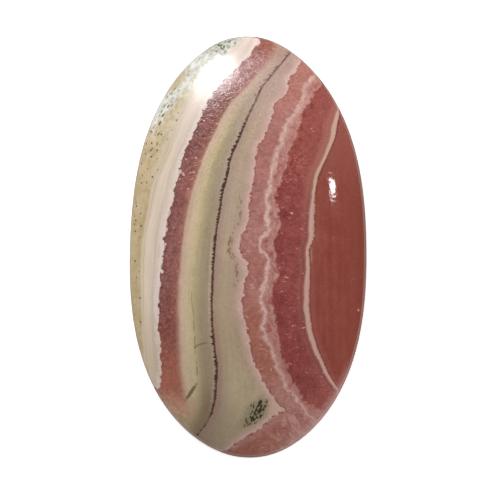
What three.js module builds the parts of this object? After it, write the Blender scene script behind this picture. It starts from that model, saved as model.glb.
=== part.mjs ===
// Oval rhodochrosite cabochon: one polished stone with a low dome, a narrow girdle and a flat ground back.
// Millimetres, +Z up. The origin is the middle of the flat back, and the long axis lies along Y.
import * as THREE from "three";

// Overall size of the stone
const LENGTH = 44; // along Y
const WIDTH = 24.7; // along X
const HEIGHT = 5.6; // from the flat back to the top of the dome

// Edge of the stone, from the back up
const BEVEL = 0.4; // ground edge round the back, the same across and up
const GIRDLE_TOP = 1.4; // where the wall ends and the dome begins
const GIRDLE_LEAN = 0.3; // how far the wall leans in over that height, so that a bezel can close on it

// Dome section: a higher crown power is flatter on top, and a lower shoulder power is rounder at the girdle
const CROWN_POWER = 2.4;
const SHOULDER_POWER = 0.8;

// Plan of the stone: an oval a little squarer than an ellipse
const OVAL_POWER = 2.13;
// What cutting by eye left of the true oval, as shares of the radius
const FULL_LOWER_END = 0.0045;
const BROAD_UPPER_END = 0.009;
const SKEW = 0.003;
const FLATS = 0.0055;

// Facets
const STEPS_AROUND = 128;
const STEPS_UP_DOME = 22;

// Distance from the middle to the edge in a direction, for an oval of unit half width and half length
function ovalRadius(angle) {
  const across = Math.abs(Math.cos(angle)) ** OVAL_POWER;
  const along = Math.abs(Math.sin(angle)) ** OVAL_POWER;
  const cutByEye =
    1 -
    FULL_LOWER_END * Math.sin(angle) -
    BROAD_UPPER_END * Math.sin(3 * angle) +
    SKEW * Math.sin(4 * angle) -
    FLATS * Math.cos(6 * angle);
  return cutByEye * (across + along) ** (-1 / OVAL_POWER);
}

function unitOutline(angle) {
  const radius = ovalRadius(angle);
  return new THREE.Vector2(radius * Math.cos(angle), radius * Math.sin(angle));
}

const anglesAround = Array.from({ length: STEPS_AROUND }, (_, step) => (step * 2 * Math.PI) / STEPS_AROUND);
const unitBounds = new THREE.Box2().setFromPoints(anglesAround.map(unitOutline));
const unitMiddle = unitBounds.getCenter(new THREE.Vector2());
const toRealSize = new THREE.Vector2(WIDTH, LENGTH).divide(unitBounds.getSize(new THREE.Vector2()));

// Point of the girdle's widest line, true to LENGTH and WIDTH and centred on the origin
function outline(angle) {
  return unitOutline(angle).sub(unitMiddle).multiply(toRealSize);
}

// Direction straight out of the outline, from the outline a small turn to either side
function outwardNormal(angle) {
  const reach = 0.01; // radians
  const along = outline(angle + reach).sub(outline(angle - reach));
  return new THREE.Vector2(along.y, -along.x).normalize();
}

// How far the edge stands inside its widest line at a height: the bevel below it and the leaning wall above
function edgeInset(height) {
  if (height < BEVEL) return BEVEL - height;
  const up = Math.min(1, (height - BEVEL) / (GIRDLE_TOP - BEVEL));
  return GIRDLE_LEAN * up;
}

// Height of the dome at a share of the way from its middle to the girdle
function domeHeight(share) {
  const rise = (1 - share ** CROWN_POWER) ** SHOULDER_POWER;
  return GIRDLE_TOP + (HEIGHT - GIRDLE_TOP) * rise;
}

// Section from the middle of the back, round the edge, to the top of the dome: share of radius, and height
function section() {
  const points = [
    new THREE.Vector2(0, 0),
    new THREE.Vector2(1, 0),
    new THREE.Vector2(1, BEVEL),
    new THREE.Vector2(1, GIRDLE_TOP),
  ];
  for (let step = 1; step <= STEPS_UP_DOME; step++) {
    // Rings stand closer together at the shoulder, where the dome turns fastest
    const share = Math.cos((step / STEPS_UP_DOME) * (Math.PI / 2));
    points.push(new THREE.Vector2(step === STEPS_UP_DOME ? 0 : share, domeHeight(share)));
  }
  return points;
}

// The section turned round the upright axis, then each ring drawn out to the stone's own outline
function stoneGeometry() {
  const geometry = new THREE.LatheGeometry(section(), STEPS_AROUND).rotateX(Math.PI / 2);
  const position = geometry.getAttribute("position");
  for (let i = 0; i < position.count; i++) {
    const share = Math.hypot(position.getX(i), position.getY(i));
    const height = position.getZ(i);
    const angle = Math.atan2(position.getY(i), position.getX(i));
    const edge = outline(angle).addScaledVector(outwardNormal(angle), -edgeInset(height));
    position.setXY(i, share * edge.x, share * edge.y);
  }
  geometry.computeVertexNormals();
  return geometry;
}

const polishedStone = new THREE.MeshStandardMaterial({ color: 0xa8685c, roughness: 0.12, metalness: 0 });

const stone = new THREE.Mesh(stoneGeometry(), polishedStone);
stone.name = "stone";

const cabochon = new THREE.Group();
cabochon.add(stone);

export default cabochon;
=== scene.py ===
import math

import bpy
import numpy as np
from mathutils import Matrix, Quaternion, Vector


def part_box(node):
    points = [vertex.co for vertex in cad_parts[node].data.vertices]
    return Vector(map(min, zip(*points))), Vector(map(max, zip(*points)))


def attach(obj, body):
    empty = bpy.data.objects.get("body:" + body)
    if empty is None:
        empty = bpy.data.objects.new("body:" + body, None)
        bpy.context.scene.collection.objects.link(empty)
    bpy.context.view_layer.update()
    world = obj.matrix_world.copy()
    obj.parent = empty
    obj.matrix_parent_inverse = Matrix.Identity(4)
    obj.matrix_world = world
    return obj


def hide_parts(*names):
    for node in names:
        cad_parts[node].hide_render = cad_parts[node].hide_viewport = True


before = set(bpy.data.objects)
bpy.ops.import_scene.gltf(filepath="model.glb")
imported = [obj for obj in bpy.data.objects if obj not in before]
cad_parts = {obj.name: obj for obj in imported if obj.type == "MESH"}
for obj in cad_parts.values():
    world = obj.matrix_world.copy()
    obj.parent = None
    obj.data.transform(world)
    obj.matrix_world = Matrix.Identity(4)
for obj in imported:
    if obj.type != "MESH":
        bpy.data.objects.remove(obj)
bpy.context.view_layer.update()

# The stone's shape
# One natural piece of banded rhodochrosite, sawn from the rock, ground to an oval and polished by hand.
# The back is ground flat, a narrow wall leans in round the edge for a setting, and the face is a low dome.
MM = 0.001

stone_low, stone_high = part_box("stone")
WIDTH = (stone_high.x - stone_low.x) / MM
LENGTH = (stone_high.y - stone_low.y) / MM
HEIGHT = (stone_high.z - stone_low.z) / MM

BEVEL = 0.4  # ground edge round the back, the same across and up
GIRDLE_TOP = 1.4  # where the wall ends and the dome begins
GIRDLE_LEAN = 0.3  # how far the wall leans in over its height
CROWN_POWER = 2.4  # higher is flatter on top
SHOULDER_POWER = 0.8  # lower is rounder at the girdle
EDGE_ROUND = 0.1  # reach of the rounding that polishing leaves on the edges

# Plan: an oval a little squarer than an ellipse, and what cutting by eye left of the true oval
OVAL_POWER = 2.13
FULL_LOWER_END = 0.0045
BROAD_UPPER_END = 0.009
SKEW = 0.003
FLATS = 0.0055

STEPS_AROUND = 256
STEPS_UP_DOME = 100
STEPS_ROUND_EDGE = 6
BACK_SHARES = (0.35, 0.7, 0.93)

# Shallow waves that hand polishing leaves in the dome
POLISH_WAVE = 0.012
POLISH_WAVE_LENGTHS = (6.1, 8.7)


def unit_outline(angle):
    across = np.abs(np.cos(angle)) ** OVAL_POWER
    along = np.abs(np.sin(angle)) ** OVAL_POWER
    cut_by_eye = (
        1
        - FULL_LOWER_END * np.sin(angle)
        - BROAD_UPPER_END * np.sin(3 * angle)
        + SKEW * np.sin(4 * angle)
        - FLATS * np.cos(6 * angle)
    )
    radius = cut_by_eye * (across + along) ** (-1 / OVAL_POWER)
    return np.stack([radius * np.cos(angle), radius * np.sin(angle)], axis=-1)


around = np.arange(STEPS_AROUND) * 2 * math.pi / STEPS_AROUND
unit_low = unit_outline(around).min(axis=0)
unit_high = unit_outline(around).max(axis=0)


def outline(angle):
    """Widest line of the girdle, true to WIDTH and LENGTH and centred on the middle of the back."""
    centred = unit_outline(angle) - (unit_low + unit_high) / 2
    return centred * (WIDTH, LENGTH) / (unit_high - unit_low)


def outward(angle):
    turn = 0.01
    step = outline(angle + turn) - outline(angle - turn)
    normal = np.stack([step[..., 1], -step[..., 0]], axis=-1)
    return normal / np.linalg.norm(normal, axis=-1, keepdims=True)


def dome_height(share):
    rise = (1 - share**CROWN_POWER) ** SHOULDER_POWER
    return GIRDLE_TOP + (HEIGHT - GIRDLE_TOP) * rise


def rounded(before, corner, after):
    """Points of a corner that polishing has rounded, between a point before it and one after."""
    start = corner + (before - corner) * EDGE_ROUND / np.linalg.norm(before - corner)
    end = corner + (after - corner) * EDGE_ROUND / np.linalg.norm(after - corner)
    steps = np.linspace(0, 1, STEPS_ROUND_EDGE)[:, None]
    return (1 - steps) ** 2 * start + 2 * steps * (1 - steps) * corner + steps**2 * end


# Edge of the stone from the back up, as inset from the widest line and height
back_flat = np.array((2 * BEVEL, 0.0))
bevel_foot = np.array((BEVEL, 0.0))
wall_foot = np.array((0.0, BEVEL))
wall_head = np.array((GIRDLE_LEAN, GIRDLE_TOP))
edge = np.vstack(
    [
        rounded(back_flat, bevel_foot, wall_foot),
        rounded(bevel_foot, wall_foot, wall_head),
        wall_head[None, :],
    ]
)

# Rings of the mesh from the back up: share of the radius, inset and height
rings = [(share, BEVEL, 0.0) for share in BACK_SHARES]
rings += [(1.0, inset, height) for inset, height in edge]
for step in range(1, STEPS_UP_DOME):
    share = math.cos(step / STEPS_UP_DOME * math.pi / 2)
    rings.append((share, GIRDLE_LEAN, dome_height(share)))

rim = outline(around)
out = outward(around)
points = [np.zeros(3)]
for share, inset, height in rings:
    plan = share * (rim - inset * out)
    lift = np.zeros(STEPS_AROUND)
    if height > GIRDLE_TOP:
        waves = sum(
            np.sin(2 * math.pi * plan[:, 0] / wave + turn) * np.sin(2 * math.pi * plan[:, 1] / wave - turn)
            for turn, wave in enumerate(POLISH_WAVE_LENGTHS)
        )
        to_girdle = 1 - share**4  # the waves fade out at the girdle
        lift = POLISH_WAVE * waves * to_girdle
    points.extend(np.column_stack([plan, height + lift]))
points.append(np.array((0.0, 0.0, HEIGHT)))
points = np.array(points) * MM

last = len(points) - 1
faces = []
for step in range(STEPS_AROUND):
    after = (step + 1) % STEPS_AROUND
    faces.append((0, 1 + after, 1 + step))
    for ring in range(len(rings) - 1):
        below = 1 + ring * STEPS_AROUND
        above = below + STEPS_AROUND
        faces.append((below + step, below + after, above + after, above + step))
    top = 1 + (len(rings) - 1) * STEPS_AROUND
    faces.append((top + step, top + after, last))

stone_mesh = bpy.data.meshes.new("stone_face")
stone_mesh.from_pydata(points.tolist(), [], faces)
stone_mesh.shade_smooth()
stone = bpy.data.objects.new("polished_stone", stone_mesh)
bpy.context.scene.collection.objects.link(stone)

# Second map of the surface, named for baking: the dome with its wall unrolled round it on the left, and the
# back on the right
MAP_MARGIN = 0.8
wall_run = np.concatenate([[0], np.cumsum(np.linalg.norm(np.diff(edge[::-1], axis=0), axis=1))])[::-1]
dome_half = np.abs(rim - GIRDLE_LEAN * out + wall_run[0] * out).max(axis=0)
back_half = np.abs(rim).max(axis=0)
map_width = 2 * dome_half[0] + 2 * back_half[0] + 3 * MAP_MARGIN
dome_middle = np.array((MAP_MARGIN + dome_half[0], map_width / 2))
back_middle = np.array((map_width - MAP_MARGIN - back_half[0], map_width / 2))

first_edge_ring = len(BACK_SHARES)
face_map = np.tile(dome_middle, (len(points), 1))
back_map = np.tile(back_middle, (len(points), 1))
for ring, (share, inset, _) in enumerate(rings):
    start = 1 + ring * STEPS_AROUND
    plan = share * (rim - inset * out)
    back_map[start:start + STEPS_AROUND] = back_middle + plan * (-1, 1)
    edge_ring = ring - first_edge_ring
    if 0 <= edge_ring < len(edge):
        plan = rim + (wall_run[edge_ring] - GIRDLE_LEAN) * out
    face_map[start:start + STEPS_AROUND] = dome_middle + plan

bake_map = stone_mesh.uv_layers.new(name="OFBake")
last_back_vertex = first_edge_ring * STEPS_AROUND + STEPS_AROUND
for face in stone_mesh.polygons:
    on_back = max(face.vertices) <= last_back_vertex
    chart = back_map if on_back else face_map
    for corner, vertex in zip(face.loop_indices, face.vertices):
        bake_map.data[corner].uv = chart[vertex] / map_width

# The stone's layers
# Rhodochrosite grows in layers that differ in manganese, iron and calcite, so a cut shows bands across it.
# The bands are colour in the solid stone: each line between two is a curve that runs along the stone.
# Places are in mm from the middle of the back, and a layer's share runs from 0 to 1 across it.


def set_stops(colour_ramp, stops):
    for share, _ in stops[1:-1]:
        colour_ramp.elements.new(share)
    for element, (share, tone) in zip(colour_ramp.elements, stops):
        element.position = share
        element.color = tone


def set_points(mapping, stops):
    drawn = mapping.curves[0]
    drawn.points[0].location = stops[0]
    drawn.points[1].location = stops[-1]
    for value, result in stops[1:-1]:
        drawn.points.new(value, result)
    mapping.extend = "EXTRAPOLATED"
    mapping.use_clip = False
    mapping.update()


class Value:
    """A socket of the shader. Sums on it add Math nodes, and node() adds a node of any other kind."""

    def __init__(self, tree, socket):
        self.tree = tree
        self.socket = socket

    def node(self, kind, settings, sockets, output=0):
        made = self.tree.nodes.new(kind)
        for name, setting in settings.items():
            if name == "stops":
                set_stops(made.color_ramp, setting)
            elif name == "points":
                set_points(made.mapping, setting)
            else:
                setattr(made, name, setting)
        for name, value in sockets.items():
            if isinstance(value, Value):
                self.tree.links.new(value.socket, made.inputs[name])
            else:
                made.inputs[name].default_value = value
        return Value(self.tree, made.outputs[output]) if made.outputs else None

    def math(self, operation, first, second=0.0):
        return self.node("ShaderNodeMath", {"operation": operation}, {0: first, 1: second})

    def __add__(self, other):
        return self.math("ADD", self, other)

    __radd__ = __add__

    def __sub__(self, other):
        return self.math("SUBTRACT", self, other)

    def __rsub__(self, other):
        return self.math("SUBTRACT", other, self)

    def __mul__(self, other):
        return self.math("MULTIPLY", self, other)

    __rmul__ = __mul__

    def __truediv__(self, other):
        return self.math("DIVIDE", self, other)

    def __neg__(self):
        return self.math("MULTIPLY", self, -1.0)

    def __abs__(self):
        return self.math("ABSOLUTE", self)

    def at_least(self, other):
        return self.math("MAXIMUM", self, other)

    def at_most(self, other):
        return self.math("MINIMUM", self, other)

    def rise(self, low, high):
        """0 up to low, 1 from high, and smooth between."""
        limits = {"Value": self, "From Min": low, "From Max": high}
        return self.node("ShaderNodeMapRange", {"interpolation_type": "SMOOTHSTEP"}, limits)

    def fall(self, low, high):
        """1 up to low, 0 from high, and smooth between."""
        return 1 - self.rise(low, high)


def noise(place, size, detail=2.0):
    sockets = {"Vector": place, "Scale": 1 / size, "Detail": detail}
    return place.node("ShaderNodeTexNoise", {}, sockets)


def cells(place, size):
    return place.node("ShaderNodeTexVoronoi", {}, {"Vector": place, "Scale": 1 / size})


def position(across, along, up):
    known = next(part for part in (across, along, up) if isinstance(part, Value))
    return known.node("ShaderNodeCombineXYZ", {}, {0: across, 1: along, 2: up})


material = bpy.data.materials.new("banded_rhodochrosite")
material.use_nodes = True
tree = material.node_tree
tree.nodes.clear()
metres = Value(tree, None).node("ShaderNodeTexCoord", {}, {}, output="Object")
raw = metres.node("ShaderNodeVectorMath", {"operation": "SCALE"}, {0: metres, "Scale": 1 / MM})
raw_across, raw_along, up = (
    raw.node("ShaderNodeSeparateXYZ", {}, {0: raw}, output=axis) for axis in range(3)
)

# The layers dip a little towards the far end, and below the girdle they lean across
DIP = 0.07
LEAN_BELOW = 0.55
across = raw_across + (GIRDLE_TOP - up).at_least(0.0) * LEAN_BELOW
along = raw_along + (up - GIRDLE_TOP) * DIP
place = position(across, along, up)

# Lines between the layers, from the stone's far end to its near end: (along, across) in mm from the middle
CURVE_REACH = 25.0


def curve(value, points):
    """A smooth curve through points of (value, result), all in mm."""
    stops = [(v / (2 * CURVE_REACH) + 0.5, r / (2 * CURVE_REACH) + 0.5) for v, r in sorted(points)]
    share = value / (2 * CURVE_REACH) + 0.5
    result = value.node("ShaderNodeFloatCurve", {"points": stops}, {"Value": share})
    return (result - 0.5) * (2 * CURVE_REACH)


def line(*points):
    return curve(along, points)


cream_line = line(
    (22.1, -0.1), (19.8, -2.3), (17.5, -4.5), (15.6, -5.8), (13.4, -7.0), (10.7, -8.1), (8.9, -8.8),
    (6.5, -9.9), (4.0, -10.4), (0.7, -11.0), (-3.0, -11.2), (-6.6, -11.1), (-9.7, -11.0), (-12.8, -10.6),
)
red_line = line(
    (21.9, 1.1), (20.2, 0.6), (19.2, -0.5), (17.1, -2.4), (15.2, -3.9), (13.8, -4.6), (12.0, -5.3),
    (9.4, -6.5), (7.8, -7.1), (5.9, -7.3), (4.0, -8.0), (0.7, -8.6), (-2.0, -8.7), (-5.5, -9.2),
    (-8.1, -9.1), (-10.2, -9.0), (-13.0, -8.9), (-14.5, -9.2), (-16.0, -9.9),
)
beige_line = line(
    (21.4, 3.2), (19.4, 2.2), (17.6, 0.8), (16.0, -0.6), (14.8, -1.8), (13.3, -2.7), (12.0, -3.3),
    (9.7, -4.4), (7.4, -5.2), (4.7, -6.0), (1.4, -6.6), (-1.1, -6.9), (-4.5, -7.2), (-8.1, -7.2),
    (-10.7, -7.1), (-13.7, -6.9), (-16.3, -6.4), (-18.1, -6.0),
)
seam_line = line(
    (20.5, 4.7), (19.5, 3.9), (18.0, 2.7), (16.3, 1.4), (14.6, 0.6), (12.6, -0.3), (10.9, -1.0),
    (9.0, -1.8), (7.3, -2.1), (5.5, -2.6), (3.5, -2.9), (1.0, -3.3), (-1.3, -3.5), (-6.6, -3.7),
    (-8.9, -3.6), (-10.7, -3.4), (-13.0, -3.2), (-14.7, -3.3), (-16.5, -3.5), (-18.2, -4.2), (-19.5, -5.1),
)
salmon_line = line(
    (19.6, 5.8), (18.6, 5.2), (17.3, 4.4), (15.9, 4.1), (14.7, 2.8), (13.2, 2.4), (11.5, 1.8),
    (9.9, 1.0), (7.9, 0.8), (6.0, 0.5), (4.4, 0.3), (2.2, 0.0), (0.7, -0.7), (-0.7, -0.8),
    (-2.0, 0.0), (-4.5, -0.4), (-6.7, -0.5), (-8.5, -0.1), (-10.4, 0.3), (-12.0, 0.7), (-13.7, 1.5),
    (-15.4, 2.5), (-16.7, 3.7), (-18.5, 5.5), (-20.2, 8.1),
)
lace_line = line(
    (18.1, 7.4), (17.2, 6.2), (16.3, 5.7), (14.9, 5.4), (13.2, 4.2), (10.8, 3.2), (8.5, 2.5),
    (6.4, 2.0), (4.6, 1.8), (2.6, 1.8), (1.5, 1.8), (0.7, 1.1), (-0.4, 0.9), (-1.1, 1.7),
    (-2.6, 1.8), (-4.7, 1.2), (-6.9, 1.4), (-8.9, 1.4), (-10.7, 2.2), (-12.5, 2.9), (-14.3, 3.6),
    (-15.8, 4.8), (-17.4, 5.9), (-19.1, 8.1),
)
deep_line = line(
    (17.9, 8.3), (16.5, 7.4), (14.9, 6.5), (13.5, 5.6), (11.6, 5.3), (9.9, 4.4), (8.2, 4.2),
    (6.7, 3.6), (4.6, 2.8), (3.3, 3.3), (1.6, 3.3), (0.1, 2.8), (-1.5, 3.0), (-2.9, 3.3),
    (-4.0, 2.8), (-6.6, 2.7), (-9.1, 3.2), (-11.1, 3.4), (-12.6, 4.0), (-14.5, 5.2), (-15.6, 5.6),
    (-16.4, 6.4), (-17.4, 8.8),
)
vein_line = line(
    (15.0, 9.7), (12.9, 8.8), (11.1, 8.4), (9.1, 7.7), (7.4, 6.9), (5.5, 6.6), (2.4, 6.2),
    (0.8, 6.2), (-0.5, 5.95), (-2.4, 5.9), (-5.5, 5.7), (-8.1, 5.9), (-10.1, 6.4), (-12.0, 7.3), (-13.8, 8.2),
    (-15.4, 9.4),
)
brick_line = line(
    (14.6, 9.8), (12.9, 9.4), (11.1, 9.0), (9.0, 8.1), (7.4, 7.4), (5.5, 7.0), (2.0, 6.9),
    (0.8, 6.8), (-0.5, 6.35), (-1.7, 6.4), (-2.9, 6.4), (-5.5, 6.3), (-8.0, 6.5), (-10.0, 7.0), (-12.0, 7.8),
    (-13.9, 8.7), (-15.5, 9.9),
)
# Foot of the olive layer, where a wedge of salmon cuts it off: (across, along)
wedge_line = curve(
    across,
    [(-3.9, -22.3), (-2.3, -21.3), (-0.8, -20.2), (0.6, -19.3), (1.9, -18.4), (3.0, -17.6), (3.9, -17.0),
     (5.5, -16.4)],
)

# Unevenness that the layers share: slow clouds and wander, bulges and lobes of crystal, teeth and fine grain
clouds = noise(place, 1.7, 3.0) - 0.5
wander = noise(place, 1.3) - 0.5
bulges = cells(place, 1.7) - 0.5
lobes = cells(place, 0.8) - 0.45
teeth = cells(place, 0.36) - 0.45
grain = noise(place, 0.2, 3.0) - 0.5
fibres = noise(position(across * 0.25, along, up), 0.12) - 0.5

# Olive tan layer at the left edge
# Fine calcite stained by iron. Towards the far end its outer side is pale, under a painted veil of reflected
# light, and holds specks of dark ore.


def colour(red, green, blue):
    """Screen colour from 0 to 255 as the light values that the shader takes."""
    shares = [part / 255 for part in (red, green, blue)]
    linear = [s / 12.92 if s <= 0.04045 else ((s + 0.055) / 1.055) ** 2.4 for s in shares]
    return (*linear, 1.0)


def paint(under, over, share):
    sockets = {0: share, 6: under, 7: over}
    return share.node("ShaderNodeMix", {"data_type": "RGBA"}, sockets, output=2)


def shaded(base, amount):
    """A colour made lighter or darker: amount is a factor round 1."""
    return amount.node("ShaderNodeVectorMath", {"operation": "SCALE"}, {0: base, "Scale": amount})


def streaks(from_line, width, run=0.05):
    """Fine streaks that run with a layer: from_line is the distance from the layer's line."""
    return noise(position(from_line, along * run, up * run), width, 3.0) - 0.5


def cell_chance(place, size):
    """One random number for each of the cells that cells() makes."""
    picked = place.node("ShaderNodeTexVoronoi", {}, {"Vector": place, "Scale": 1 / size}, output=1)
    return picked.node("ShaderNodeSeparateColor", {}, {0: picked})


def specks(where, size, share, radius):
    """Small grains of one radius: that share of the cells of that size holds one."""
    picked = cell_chance(where, size).rise(1 - share, 1.01 - share)
    return picked * (cells(where, size) * size).fall(radius * 0.5, radius)


def patch(centre, half_length, half_width, turn):
    """Distance from the middle of a long spot, as a share of its size. It turns from the stone's length."""
    from_along = along - centre[0]
    from_across = across - centre[1]
    cosine = math.cos(math.radians(turn))
    sine = math.sin(math.radians(turn))
    lengthways = (from_along * cosine + from_across * sine) / half_length
    sideways = (from_across * cosine - from_along * sine) / half_width
    return along.math("SQRT", lengthways * lengthways + sideways * sideways)


def between(low, high, soft=1.0):
    """1 on a stretch of the stone's length, fading out at both ends."""
    return along.rise(low - soft, low + soft) * along.fall(high - soft, high + soft)


def near(value, middle, half_width, soft=0.5):
    """1 where a value is near its middle, fading out over a share of the half width."""
    return abs(value - middle).fall(half_width * (1 - soft), half_width * (1 + soft))


past_cream = across - cream_line + wander * 0.25
mottle = noise(place, 0.45, 3.0) - 0.5
tan_mix = clouds + mottle + streaks(past_cream, 0.5) * 0.5
tan_layer = paint(colour(174, 154, 116), colour(188, 168, 133), tan_mix.rise(-0.2, 0.2))
tan_layer = paint(tan_layer, colour(198, 181, 160), near(past_cream, 0.0, 0.6) * between(7.0, 17.0) * 0.7)
# Pale zone along the far outer side: partly the stone's own pale colour, partly a painted reflection veil
from_pale_zone_and_veil = -past_cream - 1.5 + (along - 14.5) * 0.33 + wander * 0.8
pale_zone_and_veil = (from_pale_zone_and_veil + mottle + streaks(past_cream, 0.4, 0.2) * 3).rise(-0.7, 0.8)
pale_zone_mix = (mottle + clouds * 0.5).rise(-0.15, 0.15)
pale_zone_and_veil_colour = paint(colour(194, 192, 180), colour(216, 214, 206), pale_zone_mix)
# Tan paler towards the far end
paler_towards_far_end = along.rise(7.0, 14.0) * (mottle * 2 + 0.5).at_least(0.25)
tan_layer = paint(tan_layer, colour(204, 192, 168), paler_towards_far_end * 0.8)
tan_layer = paint(tan_layer, pale_zone_and_veil_colour, pale_zone_and_veil)
stained_edge = (patch((17.2, -7.4), 2.0, 0.6, 39) + wander * 1.2 + mottle * 1.5).fall(0.4, 1.3)
tan_layer = paint(tan_layer, colour(178, 156, 118), stained_edge * 0.8)
GREY_ORE = colour(112, 114, 102)
BROWN_ORE = colour(74, 62, 38)
clustered = noise(place, 1.1).rise(0.4, 0.56)
long_grains = position(across - along * 0.45, along * 0.7, up)
smudges = noise(long_grains, 0.34, 2.0).rise(0.54, 0.66)
tan_layer = paint(tan_layer, colour(172, 172, 160), smudges * pale_zone_and_veil * 0.6)
grey_grains = specks(long_grains, 0.3, 0.5, 0.14).at_least(specks(long_grains, 0.2, 0.4, 0.09))
tan_layer = paint(tan_layer, GREY_ORE, grey_grains * pale_zone_and_veil * clustered * 0.8)
ore_strip = (near(past_cream, -1.6, 0.75) * between(10.0, 15.0)).at_least(stained_edge * 0.7)
tan_layer = paint(tan_layer, BROWN_ORE, specks(long_grains, 0.46, 0.6, 0.19) * ore_strip * 0.9)
plain_tan = along.fall(12.0, 15.0)
tan_layer = paint(tan_layer, BROWN_ORE, specks(place, 0.55, 0.5, 0.16) * plain_tan * 0.85)
tan_layer = shaded(tan_layer, 1 + grain * 0.25)
ore_nest = (patch((20.8, -2.6), 1.6, 1.0, 66) + wander * 1.2).fall(0.4, 1.2)
nest_grains = specks(place, 0.3, 0.8, 0.16).at_least(noise(place, 0.3, 3.0).rise(0.52, 0.6))
tan_layer = paint(tan_layer, colour(164, 162, 142), ore_nest * 0.5)
tan_layer = paint(tan_layer, colour(70, 74, 66), nest_grains * ore_nest * 0.85)

# Cream layers
# Many thin layers of pale calcite, each a shade apart, that end in a pinkish white rim.


def ramp(share, *stops):
    return share.node("ShaderNodeValToRGB", {"stops": stops}, {0: share})


cream_share = past_cream / (red_line - cream_line)
cream_layer = ramp(
    cream_share,
    (0.0, colour(184, 165, 138)),
    (0.07, colour(199, 181, 157)),
    (0.12, colour(202, 184, 160)),
    (0.15, colour(184, 165, 143)),
    (0.19, colour(207, 189, 168)),
    (0.35, colour(213, 195, 175)),
    (0.5, colour(210, 191, 174)),
    (0.56, colour(203, 185, 168)),
    (0.64, colour(199, 181, 165)),
    (0.72, colour(205, 187, 172)),
    (0.86, colour(212, 194, 180)),
    (0.97, colour(216, 194, 184)),
    (1.0, colour(190, 156, 147)),
)
cream_layer = paint(cream_layer, colour(211, 194, 185), along.rise(8.0, 15.0) * 0.6)
cream_layer = paint(cream_layer, colour(192, 171, 147), along.fall(-12.0, -4.0) * 0.6)
cream_layer = shaded(cream_layer, 1 + streaks(cream_share * 2.4, 0.2) * 0.36 + grain * 0.14)

# Red crystal layer
# Coarse dark rhodochrosite crystals, jagged where they grew into the cream and soft on the other side.
past_red = across - red_line + bulges * 0.5 + lobes * 0.5 + teeth * 0.25 + grain * 0.2
red_share = past_red / (beige_line - red_line)
red_layer = ramp(
    red_share,
    (0.0, colour(106, 58, 54)),
    (0.12, colour(131, 82, 77)),
    (0.4, colour(143, 91, 86)),
    (0.55, colour(135, 82, 76)),
    (0.7, colour(137, 84, 76)),
    (0.85, colour(141, 90, 80)),
    (1.0, colour(153, 104, 90)),
)
red_layer = paint(red_layer, colour(133, 73, 62), along.fall(-9.0, -3.0) * 0.8)
near_end = along.fall(-14.5, -7.5)
red_layer = paint(red_layer, colour(161, 98, 81), near_end * 0.85)
rusty_end = along.fall(-17.2, -14.2)
red_layer = paint(red_layer, colour(184, 142, 119), rusty_end * 0.85)
tan_end = along.fall(-18.6, -16.2)
red_layer = paint(red_layer, colour(170, 149, 120), tan_end * 0.85)
red_layer = paint(red_layer, colour(149, 92, 77), along.rise(18.6, 20.2) * 0.85)
pale_rim = near(past_red, -0.22, 0.2, 0.9) * (0.55 + grain * 3)
cream_layer = paint(cream_layer, colour(226, 208, 202), pale_rim * 0.7)
dark_grains = cells(place, 0.34).rise(0.35, 0.75) * (1 - red_share.rise(0.4, 1.0) * 0.8) * (1 - near_end)
unlit_red = between(9.5, 15.5, 1.5) * 0.14
red_tone = 1.1 + clouds * 0.4 + mottle * 0.8 + grain * 0.9 - dark_grains * 0.3 - unlit_red
red_layer = shaded(red_layer, red_tone + fibres * 0.2)
crystal_edges = abs(noise(place, 0.46, 1.0) - 0.5).fall(0.0, 0.07)
# Painted reflection: a pale haze of the window's light over the far end of the red
window_haze = between(16.2, 19.8, 1.5) * (1 - red_share.rise(0.3, 1.1) * 0.3)
red_layer = paint(red_layer, colour(176, 140, 138), window_haze * 0.55)
red_layer = paint(red_layer, colour(168, 108, 104), crystal_edges * between(6.0, 15.5, 2.0) * 0.3)
# Pale crystal edges: faint everywhere, brighter where the painted window haze lies
pale_and_hazed_edges = crystal_edges * (0.04 + window_haze * 0.85) * (1 - near_end)
red_layer = paint(red_layer, colour(212, 176, 172), pale_and_hazed_edges)

# Beige and khaki layers
# Soft bands that run from pinkish beige to grey olive, as the iron in them grew.
past_beige = across - beige_line + wander * 0.2
beige_share = past_beige / (seam_line - beige_line)
ramp_shift = along.rise(4.0, 8.0) * 0.02 - between(-6.0, 5.0, 1.5) * 0.02
beige_layer = ramp(
    beige_share + ramp_shift,
    (0.0, colour(190, 157, 138)),
    (0.07, colour(197, 169, 146)),
    (0.2, colour(200, 177, 149)),
    (0.34, colour(197, 177, 143)),
    (0.4, colour(191, 173, 137)),
    (0.5, colour(178, 162, 127)),
    (0.6, colour(168, 151, 120)),
    (0.68, colour(162, 145, 118)),
    (0.78, colour(160, 142, 117)),
    (0.9, colour(168, 149, 127)),
    (1.0, colour(162, 140, 122)),
)
fine_layers = 1 + grain * (0.34 + along.rise(3.0, 10.0) * 0.35) + clouds * 0.16 + mottle * 0.16
near_shade = along.fall(-12.0, 0.0)
beige_layer = paint(beige_layer, colour(150, 131, 106), near_shade * beige_share.rise(0.45, 0.7) * 0.5)
far_blush = along.rise(9.0, 19.0) * 0.9
beige_layer = paint(beige_layer, colour(188, 163, 151), far_blush)
far_dusk = along.rise(16.6, 18.4) * 0.5
beige_layer = paint(beige_layer, colour(172, 142, 130), far_dusk)
beige_layer = paint(beige_layer, colour(168, 136, 120), along.rise(18.4, 20.2) * 0.8)
grey_side = between(5.0, 15.0, 2.0) * beige_share.rise(0.5, 0.7)
beige_layer = paint(beige_layer, colour(170, 152, 134), grey_side * 0.4)
beige_layer = shaded(beige_layer, fine_layers + streaks(past_beige, 0.3) * 0.25)
dashes = noise(position(0.0, along, up), 0.8, 2.0).rise(0.42, 0.5) * between(-13.4, -2.4, 0.2)
upper_part = along.rise(-9.0, -5.0)
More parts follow.
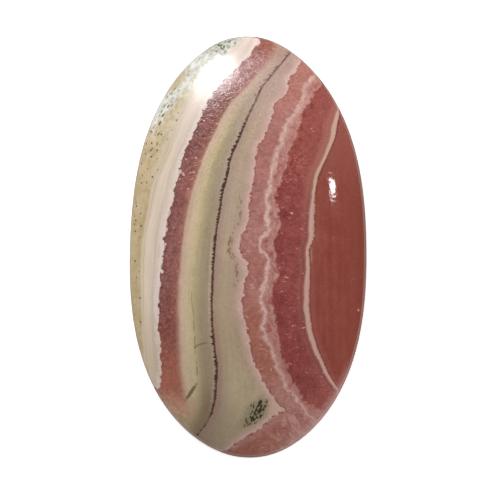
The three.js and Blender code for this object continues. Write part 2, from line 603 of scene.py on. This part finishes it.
hairline = near(beige_share + wander * 0.03 + upper_part * 0.05, 0.46, 0.014)
beige_layer = paint(beige_layer, colour(104, 98, 66), hairline * dashes * (0.72 - upper_part * 0.32))
green_grains = noise(place, 0.3, 2.0).rise(0.58, 0.66) * near(beige_share, 0.5, 0.12)
green_grains = green_grains * between(3.0, 12.0, 2.0)
beige_layer = paint(beige_layer, colour(174, 165, 114), green_grains * 0.45)
rust_patch = (patch((-16.6, -5.9), 1.3, 1.0, 20) + wander).fall(0.3, 1.1)
beige_layer = paint(beige_layer, colour(188, 152, 124), rust_patch * 0.7)
fissure = (patch((-15.2, -5.9), 1.4, 0.24, 34) + grain).fall(0.5, 1.0)
beige_layer = paint(beige_layer, colour(104, 84, 56), fissure * 0.85)
beige_layer = paint(beige_layer, colour(172, 151, 121), tan_end * 0.85)
end_shade = along.fall(-17.0, -13.0) * (seam_line - across).fall(0.5, 2.5)
beige_layer = paint(beige_layer, colour(126, 106, 84), end_shade * 0.72)
from_crack = across + 4.3
arch = along + 10.05 + from_crack * from_crack * 0.29 + wander * 0.2
crack_reach = across.rise(-5.7, -5.4) * across.fall(-4.5, -3.9)
beige_layer = paint(beige_layer, colour(104, 92, 64), near(arch, 0.0, 0.09, 0.8) * crack_reach * 0.65)

# Mauve and olive layers
# Plain fine-grained layers past the dark seam, cut off at the near end by a wedge of salmon.
past_seam = across - seam_line
olive_share = past_seam / (salmon_line - seam_line)
olive_layer = ramp(
    olive_share,
    (0.0, colour(160, 133, 119)),
    (0.14, colour(168, 143, 126)),
    (0.26, colour(173, 151, 129)),
    (0.38, colour(179, 157, 133)),
    (0.56, colour(177, 154, 131)),
    (0.7, colour(171, 147, 126)),
    (0.9, colour(176, 152, 132)),
)
olive_layer = paint(olive_layer, colour(180, 159, 142), between(2.0, 9.0, 2.0) * 0.4)
olive_layer = paint(olive_layer, colour(168, 147, 119), between(-12.0, -5.0, 2.0) * 0.5)
olive_layer = paint(olive_layer, colour(181, 154, 145), far_blush)
olive_layer = paint(olive_layer, colour(160, 132, 122), far_dusk)
mossy = along.fall(-17.0, -9.0)
olive_layer = paint(olive_layer, colour(183, 166, 135), mossy * 0.8 * olive_share.rise(0.05, 0.3))
olive_layer = paint(olive_layer, colour(146, 130, 105), along.fall(-19.0, -14.5) * 0.38)
olive_layer = shaded(olive_layer, fine_layers + streaks(past_seam, 0.3) * 0.25)
rust_streaks = noise(position(across, along * 0.45, up), 0.34, 3.0).rise(0.54, 0.62)
rust_grains = specks(long_grains, 0.4, 0.5, 0.14).at_least(rust_streaks)
rust_stretch = between(-4.5, 5.5).at_least(between(-13.5, -9.5) * 0.5)
rust_grains = rust_grains * near(salmon_line - across, 1.05, 0.3) * rust_stretch
olive_layer = paint(olive_layer, colour(114, 92, 62), rust_grains * 0.7)
nest_reach = patch((-17.2, 0.9), 1.9, 1.0, 36) + wander * 1.2
olive_layer = paint(olive_layer, colour(124, 116, 84), nest_reach.fall(0.3, 1.5) * 0.6)
ore_grains = noise(position(across - along * 0.4, along * 0.6, up), 0.26, 2.0)
ore_grains = (ore_grains - nest_reach * 0.14).rise(0.4, 0.49)
olive_layer = paint(olive_layer, colour(46, 42, 30), ore_grains * nest_reach.fall(0.8, 1.2) * 0.92)

# Salmon layer
# Pink rhodochrosite with a pale lacy fringe along the olive.
jag = bulges * 0.2 + lobes * 0.35 + teeth * 0.3 + grain * 0.3
inside_olive = ((salmon_line - across) * 0.9).at_most((along - wedge_line) * 0.88) - jag
fringe = (inside_olive + wander * 0.8 + grain * 1.4).fall(0.1, 1.1)
olive_layer = paint(olive_layer, colour(194, 161, 149), fringe * 0.95)
fringe_rim = inside_olive.fall(0.1, 0.4) * (0.55 + grain * 3)
olive_layer = paint(olive_layer, colour(210, 180, 171), fringe_rim * 0.8)
tip = patch((-16.6, 3.2), 1.5, 1.1, 60).fall(0.4, 1.2)
olive_layer = paint(olive_layer, colour(206, 170, 152), tip * 0.75)
salmon_layer = paint(colour(163, 110, 102), colour(176, 124, 116), clouds.rise(-0.12, 0.12))
tawny = near(along, -10.2, 4.6, 0.5) * 0.85
salmon_layer = paint(salmon_layer, colour(159, 100, 83), tawny)
salmon_layer = paint(salmon_layer, colour(162, 106, 96), between(8.0, 13.0, 2.0) * 0.7)
salmon_layer = paint(salmon_layer, colour(156, 100, 88), between(-4.0, -0.5, 1.5) * 0.6)
salmon_layer = paint(salmon_layer, colour(172, 112, 98), along.rise(13.0, 16.0) * 0.5)
in_wedge = (along - wedge_line).fall(-1.0, -0.2)
rosy_end = along.fall(-16.0, -12.5) * (1 - in_wedge)
salmon_layer = paint(salmon_layer, colour(175, 125, 114), rosy_end * 0.75)
salmon_layer = paint(salmon_layer, colour(163, 103, 88), in_wedge * across.fall(2.5, 5.5) * 0.8)
salmon_layer = shaded(salmon_layer, 1 + fibres * 0.6 + grain * 0.6 + mottle * 0.75)
red_edge = (-inside_olive).fall(0.06, 0.3) * noise(place, 0.6).rise(0.4, 0.56)
salmon_layer = paint(salmon_layer, colour(144, 82, 74), red_edge * 0.75)
rippled = position((across - along) * 0.3, (across + along) * 1.1 + wander, up)
ripples = noise(rippled, 0.7, 2.0).rise(0.48, 0.6)
salmon_layer = paint(salmon_layer, colour(198, 150, 138), ripples * in_wedge * across.rise(1.0, 4.0) * 0.7)

# Pale lace between the salmon and the deep red
# A soft wavy line of white calcite, and thin ones that follow the jagged edge of the deep red.
fingers = cells(place, 0.5) - 0.45
bite = bulges * 0.4 + lobes * (0.5 + mossy * 0.3) + fingers * mossy * 0.6 + teeth * 0.3 + grain * 0.3
past_deep = across - deep_line + bite
ruffle = noise(place, 0.6, 2.0) - 0.5
past_lace = across - lace_line + wander * 0.8 + ruffle * 0.9 + lobes * 0.25 + grain * 0.2
lace_layer = paint(colour(174, 122, 113), colour(160, 100, 93), past_deep.rise(-1.0, -0.1))
lace_layer = shaded(lace_layer, 1 + streaks(past_lace, 0.13, 0.25) * 0.6 + mottle * 0.6)
orange_growth = noise(place, 0.7).rise(0.46, 0.58) * past_lace.rise(0.4, 0.7)
lace_layer = paint(lace_layer, colour(152, 84, 74), orange_growth * 0.75)
far_lace = along.rise(-2.0, 3.0)
broad = along.rise(5.0, 12.0)
dim_lace = along.fall(-12.0, -4.0) * 0.25
halo = near(past_lace, 0.24 + broad * 0.06, 0.28 + far_lace * 0.06 + broad * 0.08, 0.8)
lace_layer = paint(lace_layer, colour(188, 144, 134), halo * (0.8 - dim_lace))
core = near(past_lace, 0.22, 0.14 + far_lace * 0.03 + broad * 0.04, 0.7)
lace_layer = paint(lace_layer, colour(210, 175, 164), core * (0.75 + mottle * 2 - broad * 0.25 - dim_lace))
second = near(past_deep + ruffle * 0.5, -0.26, 0.13, 0.9)
third = near(past_deep + ruffle * 0.7, -0.62, 0.1, 0.9) * 0.7
thin_lines = second.at_least(third) * noise(place, 1.0).rise(0.36, 0.52).at_least(broad * 0.8)
lace_layer = paint(lace_layer, colour(200, 158, 148), thin_lines * (0.62 - dim_lace))
lace_layer = shaded(lace_layer, 1 + fibres * 0.3 + grain * 0.3)

# Deep red crystal layer
# Coarse dark crystals again, with painted glints of small bright cleavage faces.
deep_layer = paint(colour(134, 65, 62), colour(147, 77, 72), clouds.rise(-0.14, 0.14))
deep_layer = paint(deep_layer, colour(126, 56, 54), between(-13.5, -5.5, 1.2) * 0.3)
deep_layer = paint(deep_layer, colour(152, 80, 75), along.fall(-16.0, -13.5) * 0.7)
deep_layer = paint(deep_layer, colour(149, 82, 74), along.rise(4.0, 10.0) * 0.6)
dark_patches = past_deep.fall(0.2, 1.3) * noise(place, 0.8).rise(0.48, 0.6)
deep_layer = paint(deep_layer, colour(120, 52, 47), dark_patches * (0.3 + along.rise(-6.0, 2.0) * 0.3))
deep_layer = shaded(deep_layer, 1 + grain * 0.7 + fibres * 0.7 + mottle * 0.7)
worms = abs(noise(position(across * 0.7, along, up), 0.5, 1.0) - 0.5).fall(0.0, 0.05)
growth_rim = near(past_deep, 0.9, 0.8) * between(6.0, 9.8)
dark_worms = abs(noise(place, 0.5, 1.0) - 0.45).fall(0.0, 0.06)
deep_layer = paint(deep_layer, colour(112, 44, 40), dark_worms * growth_rim * 0.85)
deep_layer = paint(deep_layer, colour(168, 94, 84), worms * wander.rise(-0.04, 0.14) * 0.5)
deep_layer = paint(deep_layer, colour(182, 104, 94), worms * growth_rim * 0.75)
before_vein = vein_line - across - wander * 0.3 + grain * 0.1
far_side = along.rise(2.0, 8.0)
lit_strip = before_vein.fall(0.2, 1.2) * (0.32 + far_side * 0.5)
deep_layer = paint(deep_layer, colour(162, 103, 92), lit_strip)
crack_side = near(before_vein, 0.27, 0.08, 0.8) * (0.7 - far_side * 0.5)
deep_layer = paint(deep_layer, colour(116, 74, 66), crack_side)

# Pale vein
# A thin crack in the red stone that later calcite filled.
wobble = wander * 0.3
past_vein = across - vein_line + wobble + grain * 0.12
vein_share = past_vein / (brick_line - vein_line)
vein_layer = ramp(
    vein_share,
    (0.0, colour(172, 128, 116)),
    (0.3, colour(196, 158, 145)),
    (0.7, colour(190, 152, 138)),
    (1.0, colour(176, 132, 120)),
)

# Brick red layer
# Even fine-grained red stone at the right edge, with faint streaks along it.
vein_teeth = (teeth * 0.3 + grain * 0.4) * between(0.0, 5.5)
past_brick = across - brick_line + 0.06 + wobble + grain * 0.3 + vein_teeth
brick_mix = streaks(across, 0.6) + streaks(across, 0.25) * 0.4 + clouds * 0.9
brick_layer = paint(colour(132, 64, 54), colour(143, 75, 64), brick_mix.rise(-0.3, 0.3))
brick_layer = paint(brick_layer, colour(121, 58, 47), across.rise(9.0, 12.0) * 0.7)
brick_layer = paint(brick_layer, colour(145, 82, 73), along.rise(4.0, 10.0) * 0.6)
paler_foot = past_brick.fall(0.1, 0.9) * along.fall(0.0, 5.0)
brick_layer = paint(brick_layer, colour(150, 83, 75), paler_foot * 0.75)
brick_side = near(past_brick, 0.08, 0.07, 0.8) * (0.5 + far_side * 0.3)
brick_layer = paint(brick_layer, colour(102, 58, 50), brick_side)
brick_layer = shaded(brick_layer, 1 + grain * 0.4 + fibres * 0.45 + mottle * 0.12)
side_branch = near(across - wobble, 6.5, 0.08, 0.8) * between(-1.7, -0.3, 0.3)
brick_layer = paint(brick_layer, colour(158, 118, 106), side_branch * 0.8)
edge_chip = (patch((-6.7, 11.42), 0.18, 0.15, 0) + grain).fall(0.5, 1.0)
brick_layer = paint(brick_layer, colour(200, 142, 124), edge_chip * 0.85)

# Painted glints of cleavage faces that catch the light in the red layers: short bright strokes painted into
# the colour, in loose groups
GLINT = colour(190, 118, 108)
BRIGHT_GLINT = colour(228, 176, 166)
grouped = noise(place, 1.1).rise(0.44, 0.58).at_least(growth_rim)
flashes = noise(position(across * 0.45, along, up + 3.0), 0.24, 0.0)
glints = flashes.rise(0.7, 0.78) * grouped
bright_glints = flashes.rise(0.8, 0.85) * grouped
deep_glint_share = 0.85 - along.rise(9.0, 13.0) * 0.5
red_layer = paint(red_layer, colour(184, 128, 122), glints * (1 - near_end) * 0.8)
red_glint_group = near(along, 7.8, 1.8) * 0.1
red_glint_strokes = (flashes + red_glint_group).rise(0.8, 0.85) * grouped.at_least(red_glint_group * 8)
red_layer = paint(red_layer, BRIGHT_GLINT, red_glint_strokes * (1 - near_end) * 0.8)
deep_layer = paint(deep_layer, GLINT, glints * deep_glint_share)
deep_layer = paint(deep_layer, BRIGHT_GLINT, bright_glints * deep_glint_share)
salmon_layer = paint(salmon_layer, colour(206, 158, 148), glints * 0.6)
brick_layer = paint(brick_layer, colour(176, 110, 98), glints * clouds.rise(0.0, 0.2) * 0.6)

# The layers side by side, each from the border where it begins
BORDER = 0.05  # half the width over which a layer gives way to the next
beige_border = 0.13 + near_shade * 0.35 + along.rise(17.5, 20.0) * 0.45
beyond_red = past_red.rise(-BORDER, BORDER)
beyond_beige = (past_beige / beige_border).rise(-1.0, 1.0)
beyond_deep = past_deep.rise(-BORDER, BORDER)
beyond_vein = past_vein.rise(-BORDER, BORDER)
beyond_brick = past_brick.rise(-BORDER, BORDER)
bands = paint(tan_layer, cream_layer, past_cream.rise(-2 * BORDER, 2 * BORDER))
bands = paint(bands, red_layer, beyond_red)
bands = paint(bands, beige_layer, beyond_beige)
bands = paint(bands, olive_layer, past_seam.rise(-2 * BORDER, 2 * BORDER))
bands = paint(bands, salmon_layer, inside_olive.fall(-0.04, 0.04))
bands = paint(bands, lace_layer, past_lace.rise(-0.35, 0.05))
bands = paint(bands, deep_layer, beyond_deep)
bands = paint(bands, vein_layer, beyond_vein)
bands = paint(bands, brick_layer, beyond_brick)

# Dark seam
# A film of manganese oxide between beige and mauve, swollen into small beads.
beads = noise(position(0.0, along, up), 0.2, 1.0).rise(0.4, 0.6)
other_beads = noise(position(3.0, along, up), 0.17, 1.0).rise(0.45, 0.65)
beaded = between(-2.5, 13.5, 2.0)
low_end = along.fall(-9.0, -6.0)
blobs = noise(position(6.0, along, up), 0.4, 1.0).rise(0.48, 0.6)
blobs = blobs * between(5.0, 13.5).at_least(low_end * along.rise(-16.5, -14.5))
far_part = along.rise(11.0, 15.0)
seam_place = past_seam + wander * 0.15
bead_reach = 0.09 + beaded * 0.07
seam_left = seam_place + 0.09 + beads * bead_reach + blobs * (0.06 + low_end * 0.09)
seam_right = seam_place - 0.07 - other_beads * 0.07
seam = seam_left.rise(-0.03, 0.03) * seam_right.fall(-0.03, 0.03)
twig_place = position(past_seam * 0.6 - along * 0.4, along * 0.8, up)
twig_groups = noise(place, 0.9).rise(0.3, 0.48) * along.rise(12.0, 15.0)
twigs = noise(twig_place, 0.24, 2.0).rise(0.5, 0.6) * near(past_seam, -0.2, 0.24, 0.8) * twig_groups
seam = seam.at_least(twigs * 0.75)
pale_beads = near(seam_place, -0.32, 0.13) * (0.3 + other_beads * 0.7) * (1 - blobs * 0.8)
pale_stretch = between(-17.0, 1.0).at_least(between(6.5, 12.5) * 0.6)
bands = paint(bands, colour(194, 174, 154), pale_beads * pale_stretch * (0.7 - low_end * 0.2))
rosy_side = near(seam_place, 0.3, 0.25) * low_end
bands = paint(bands, colour(160, 124, 110), rosy_side * 0.5)
seam_colour = paint(colour(86, 54, 42), colour(98, 62, 54), low_end)
seam_colour = paint(seam_colour, colour(58, 34, 24), beads * (0.45 + beaded * 0.5))
seam_colour = paint(seam_colour, colour(58, 35, 28), blobs * 0.8)
thin_ends = along.fall(-18.8, -16.8).at_least(far_part * 0.35)
frayed = thin_ends * noise(place, 0.35, 3.0).fall(0.42, 0.56)
bands = paint(bands, seam_colour, seam * (0.92 - far_part * 0.12 - frayed * 0.7))

# Ground edge
# The wall and the back are ground and not polished, so their colours look paler.
# On the right of the near end the rim of the dome is painted paler, a painted highlight along the edge.
on_dome = up.rise(GIRDLE_TOP - 0.1, GIRDLE_TOP + 0.1)
bands = paint(bands, colour(204, 188, 178), (1 - on_dome) * 0.2)
# Painted highlight: a pale sheen along the dome's rim on the right of the near end
rim_sheen_side = along.fall(-16.5, -10.5) * across.rise(1.0, 6.0)
painted_rim_sheen = (up + mottle).fall(GIRDLE_TOP + 0.1, GIRDLE_TOP + 0.7) * rim_sheen_side
bands = paint(bands, colour(182, 146, 138), painted_rim_sheen * 0.5)

# Finish
# The dome is polished bright, less so where coarse crystals pull out, and the edge and back are only ground.
POLISHED = 0.05
SOFT_CALCITE = 0.21
PULLED_CRYSTALS = 0.18
GROUND_EDGE = 0.3
GROUND_BACK = 0.55
STONE_IOR = 1.8
# Depths of the relief, in mm
PULLED_DEPTH = 0.005
PIT_DEPTH = 0.005
GRINDING_DEPTH = 0.006
POLISHED_DEPTH = 0.003
in_red = beyond_red * (1 - beyond_beige)
in_deep = beyond_deep * (1 - beyond_vein)
in_calcite = 1 - beyond_red
coarse = in_red.at_least(in_deep * 0.5)
off_back = up.rise(BEVEL - 0.15, BEVEL)
dome_roughness = POLISHED + coarse * (PULLED_CRYSTALS - POLISHED) + in_calcite * (SOFT_CALCITE - POLISHED)
dome_roughness = dome_roughness + mottle * 0.06
edge_roughness = GROUND_BACK + off_back * (GROUND_EDGE - GROUND_BACK)
roughness = edge_roughness + on_dome * (dome_roughness - edge_roughness)
grinding = noise(position(raw_across, raw_along * 0.06, 0.0), 0.09, 2.0)
pulled = coarse * on_dome * (grain * 2 + crystal_edges) * PULLED_DEPTH
pitted = beyond_brick * noise(place, 0.35, 0.0) * PIT_DEPTH
ground = (1 - off_back) * grinding * GRINDING_DEPTH
relief = pulled + pitted + ground + grain * POLISHED_DEPTH
bump = relief.node("ShaderNodeBump", {}, {"Strength": 1.0, "Distance": MM, "Height": relief})

sockets = {"IOR": STONE_IOR, "Base Color": bands, "Roughness": roughness, "Normal": bump}
shader = bands.node("ShaderNodeBsdfPrincipled", {}, sockets)
shader.node("ShaderNodeOutputMaterial", {}, {"Surface": shader})
stone_mesh.materials.append(material)

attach(stone, "root")
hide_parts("stone")

# The floor
# A plain white table top that glows a little, as a lit table does, so that the shadow on it stays pale.
FLOOR_HALF = 0.6
FLOOR_GAP = 0.00002  # the stone lies that little above the floor, so that their faces don't meet
FLOOR_GLOW = 0.6
floor_mesh = bpy.data.meshes.new("table_top")
corners = [(x * FLOOR_HALF, y * FLOOR_HALF, 0) for x, y in ((-1, -1), (1, -1), (1, 1), (-1, 1))]
floor_mesh.from_pydata(corners, [], [(0, 1, 2, 3)])
floor = bpy.data.objects.new("floor", floor_mesh)
floor.location.z = stone_low.z - FLOOR_GAP
bpy.context.scene.collection.objects.link(floor)
floor_material = bpy.data.materials.new("white_table")
floor_material.use_nodes = True
floor_shader = floor_material.node_tree.nodes["Principled BSDF"]
floor_shader.inputs["Base Color"].default_value = colour(240, 240, 240)
floor_shader.inputs["Roughness"].default_value = 0.8
floor_shader.inputs["Specular IOR Level"].default_value = 0.1
floor_shader.inputs["Emission Color"].default_value = (1, 1, 1, 1)
floor_shader.inputs["Emission Strength"].default_value = FLOOR_GLOW
floor_mesh.materials.append(floor_material)
floor.visible_glossy = False

# The camera
# A long lens nearly straight above the stone, tipped a little towards its near end.
CAMERA_DISTANCE = 0.4
CAMERA_TIP = math.radians(4.0)
FRAME_ACROSS = 0.0519  # what the picture takes in at the stone
AIM_ASIDE = (0.2, -0.47)  # in mm, as the stone lies a little off the middle of the picture
SENSOR = 36.0
camera_data = bpy.data.cameras.new("camera")
camera_data.sensor_width = SENSOR
camera_data.lens = SENSOR * CAMERA_DISTANCE / FRAME_ACROSS
camera = bpy.data.objects.new("camera", camera_data)
bpy.context.scene.collection.objects.link(camera)
aim = Vector((*AIM_ASIDE, GIRDLE_TOP)) * MM
back = Vector((0.0, -math.sin(CAMERA_TIP), math.cos(CAMERA_TIP)))
camera.location = aim + back * CAMERA_DISTANCE
camera.rotation_euler = (CAMERA_TIP, 0.0, 0.0)
camera_data.clip_start = 0.01
camera_data.clip_end = 10.0
bpy.context.scene.camera = camera

# The lights
# A window and a small lamp with a dimmer foot that the dome mirrors, and soft panels that it doesn't.
LIGHT_DISTANCE = 0.5


def dome_share(x, y):
    """How far a place of the plan, in mm, lies from the middle to the girdle, as a share."""
    angle = np.array(math.atan2(y / LENGTH, x / WIDTH))
    girdle = outline(angle) - GIRDLE_LEAN * outward(angle)
    return min(math.hypot(x, y) / np.linalg.norm(girdle), 1.0)


def dome_normal(x, y):
    reach = 0.05
    step_x = dome_height(dome_share(x - reach, y)) - dome_height(dome_share(x + reach, y))
    step_y = dome_height(dome_share(x, y - reach)) - dome_height(dome_share(x, y + reach))
    return Vector((step_x, step_y, 2 * reach)).normalized()


def mirrored_at(x, y):
    """Direction of a light that the dome mirrors to the camera at a place of the plan, in mm."""
    normal = dome_normal(x, y)
    place_on_dome = Vector((x, y, dome_height(dome_share(x, y)))) * MM
    to_camera = (camera.location - place_on_dome).normalized()
    return 2 * normal.dot(to_camera) * normal - to_camera


def from_side(azimuth, from_upright):
    """Direction by its angle from +X round the stone and its angle from upright, in degrees."""
    turn = math.radians(azimuth)
    tip = math.radians(from_upright)
    return Vector((math.sin(tip) * math.cos(turn), math.sin(tip) * math.sin(turn), math.cos(tip)))


def soft_light(name, direction, wide, tall, radiance, shape="RECTANGLE", roll=0.0, mirrored=True):
    data = bpy.data.lights.new(name, "AREA")
    data.shape = shape
    data.size = wide
    data.size_y = tall
    area = wide * tall * (math.pi / 4 if shape == "ELLIPSE" else 1)
    data.energy = radiance * math.pi * area
    light = bpy.data.objects.new(name, data)
    light.location = direction * LIGHT_DISTANCE
    facing = direction.to_track_quat("Z", "Y")
    light.rotation_euler = (facing @ Quaternion((0, 0, 1), math.radians(roll))).to_euler()
    light.visible_glossy = mirrored
    bpy.context.scene.collection.objects.link(light)


soft_light(
    "window", mirrored_at(-3.3, 18.25), wide=0.26, tall=0.155, radiance=10.8, shape="ELLIPSE", roll=-33
)
soft_light("lamp", mirrored_at(8.68, 6.4), wide=0.016, tall=0.056, radiance=24.0, shape="ELLIPSE")
soft_light("lamp_foot", mirrored_at(8.7, 5.5), wide=0.011, tall=0.048, radiance=6.5)
soft_light("far_panel", from_side(122, 80), wide=0.7, tall=0.45, radiance=3.0, mirrored=False)
soft_light("left_panel", from_side(180, 45), wide=0.5, tall=0.5, radiance=1.1, mirrored=False)
soft_light("right_panel", from_side(0, 65), wide=0.5, tall=0.5, radiance=3.25, mirrored=False)

world = bpy.data.worlds.new("studio")
world.use_nodes = True
world.node_tree.nodes["Background"].inputs["Color"].default_value = (1, 1, 1, 1)
world.node_tree.nodes["Background"].inputs["Strength"].default_value = 0.05
bpy.context.scene.world = world
bpy.context.scene.view_settings.view_transform = "Standard"
